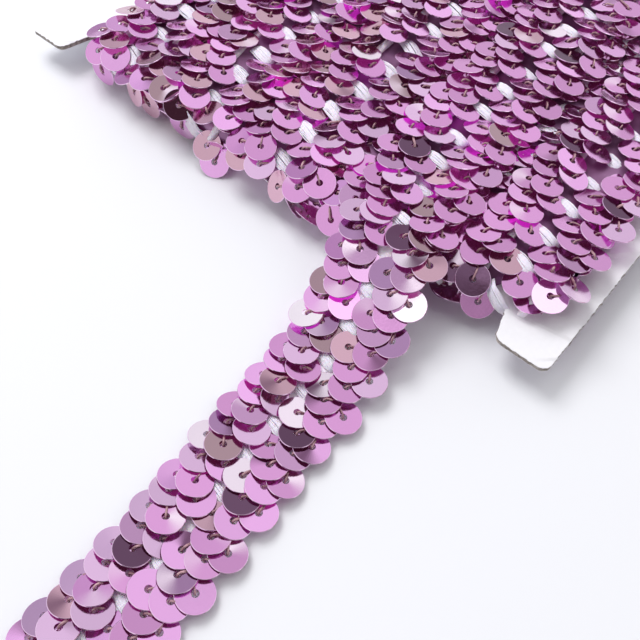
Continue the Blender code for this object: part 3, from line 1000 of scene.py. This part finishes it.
def make_light(name, place, size, power, colour, in_foil=False):
    """A square soft light that points at the object."""
    data = bpy.data.lights.new(name, "AREA")
    data.size = size
    data.energy = power
    data.color = colour
    made = bpy.data.objects.new(name, data)
    made.location = place
    made.visible_glossy = in_foil
    aim = Vector((0.02, 0.0, 0.0)) - Vector(place)
    made.rotation_euler = aim.to_track_quat("-Z", "Y").to_euler()
    bpy.context.collection.objects.link(made)


def make_floor():
    """The plain pale surface."""
    material, tree, shader = new_material("pale_surface")
    shader.inputs["Base Color"].default_value = (0.835, 0.85, 0.88, 1)
    shader.inputs["Roughness"].default_value = 0.6
    half = 3000.0
    made = make_mesh("floor", [(-half, -half, -0.02), (half, -half, -0.02), (half, half, -0.02), (-half, half, -0.02)],
                     [(0, 1, 2, 3)], material)


foil = sequin_material()
thread = thread_material()
yarn = yarn_material()
depth = painted_shade_material()

bpy.context.scene.view_settings.view_transform = "Standard"
make_camera()
make_world()
make_light("soft_back", (-0.36, 0.10, 0.60), 0.35, 3.1, (1.0, 0.99, 1.0))
make_floor()

# The strips and their sequins.
last = last_path()


def last_run(y):
    """How far along the last strip a place on top is."""
    return float(last.run[np.argmin(np.abs(last.points[:, 1] - y))])


LEAVE = last_run(LAST_TURN_END)
strips = []
loops = [wound_path(turn, SINK) for turn in range(len(TURNS))]
for turn, loop in enumerate(loops):
    if turn == LAST_TURN:
        continue
    fitted = loop.length / round(loop.length / WOUND_PITCH)
    phase = rng.uniform(0.0, fitted)
    left_lag = rng.uniform(-0.35, 0.1)
    sew(loop, 0.0, loop.length, fitted, WOUND_SPREAD, f"turn_{turn + 1}_sequins", loosen=1.45 if turn < LAST_TURN else 1.2,
        phase=phase, left_lag=left_lag)
    strips.append((f"turn_{turn + 1}_yarn", loop, 0.0, loop.length, fitted, phase, 1.35 if turn < LAST_TURN else 1.1))
under = wound_path(LAST_TURN, SINK + LAYER * 0.8, straight=True)
top_run = fold_back - fold_front - 2 * FOLD_ROUNDING
sew(under, top_run - 6.0, under.length, WOUND_PITCH, WOUND_SPREAD, "turn_4_under_sequins", layer=0.5, loosen=1.25)
strips.append(("turn_4_under_yarn", under, top_run - 6.0, under.length, WOUND_PITCH, 0.0, 1.1))

for turn in range(len(TURNS) - 1):
    middle = [(TURNS[turn][k] + TURNS[turn + 1][k]) / 2 for k in range(2)]
    between = wound_path(turn, SINK + LAYER, straight=True)
    between.points[:, 0] = middle[0]
    between.points[:, 1] += fold_recess(middle[1], between.points[:, 1]) / 2
    sew(between, 0.0, between.length, WOUND_PITCH, 1.0, f"between_{turn + 1}_sequins", layer=0.2, rows=UNDER_ROWS,
        loosen=1.3)
    strips.append((f"between_{turn + 1}_yarn", between, 0.0, between.length, WOUND_PITCH, 2.0 + turn, 1.5))

# The edges of deeper layers, seen at the pack's two ends.
for end, (turn, rows) in enumerate(((0, LEFT_EDGE_ROWS), (len(TURNS) - 1, RIGHT_EDGE_ROWS)), 1):
    for depth_step in (1, 2):
        deeper = wound_path(turn, SINK + 1.3 * depth_step)
        sew(deeper, 0.0, deeper.length, WOUND_PITCH, 1.0, f"end_{end}_sequins", layer=-float(depth_step), rows=rows,
            loosen=1.2)


def last_name(point):
    """The last strip's sequins belong to the winding or to the loose end."""
    return "turn_4_sequins" if point[1] > LAST_TURN_END else "loose_end_sequins"


wound_phase, loose_phase = last_run(WOUND_PHASE_Y), last_run(LOOSE_PHASE_Y)
cut_end = last.length - 1.2
sew(last, 0.0, LEAVE, WOUND_PITCH, loose_spread, last_name, layer=1.5, loosen=1.0, phase=wound_phase)
sew(last, LEAVE, last.length - 2.6, LOOSE_PITCH, loose_spread, last_name, layer=1.5, tilt=LOOSE_TILT, loosen=0.8,
    phase=loose_phase, left_lag=0.0)
strips.append(("last_turn_yarn", last, 0.0, LEAVE + 1.0, WOUND_PITCH, wound_phase, 1.1))
strips.append(("loose_end_yarn", last, LEAVE + 1.0, cut_end - 0.3, LOOSE_PITCH, loose_phase, 1.0))
settle()

# At the two ends of a fold the tabs of the card take the room of the sequins there.
beside_tab = (np.abs(discs.centre[:, 0]) > TAB_START) & (np.abs(discs.out[:, 2]) < 0.8)
beside_tab &= (discs.centre[:, 1] < fold_front + FOLD_ROUNDING) | (discs.centre[:, 1] > fold_back - FOLD_ROUNDING)

pieces = {}
for name in sorted(set(discs.piece)):
    chosen = [index for index, owner in enumerate(discs.piece) if owner == name and not beside_tab[index]]
    pieces[name] = sequin_piece(name, chosen, foil)
    pieces[name.replace("sequins", "stitches")] = thread_piece(name.replace("sequins", "stitches"), chosen, thread)
for name, path, start, stop, pitch, phase, size in strips:
    pieces[name] = yarn_piece(name, path, start, stop, pitch, phase, yarn, size)
pieces["loose_end_band"] = band_piece(last, LEAVE, cut_end, yarn)
pieces["winding_core"] = core_piece(depth)

for name, piece in pieces.items():
    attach(piece, "root")
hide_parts("wound_trim")
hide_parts("loose_end")
card = card_piece(card_material())
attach(card, "root")
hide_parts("card")
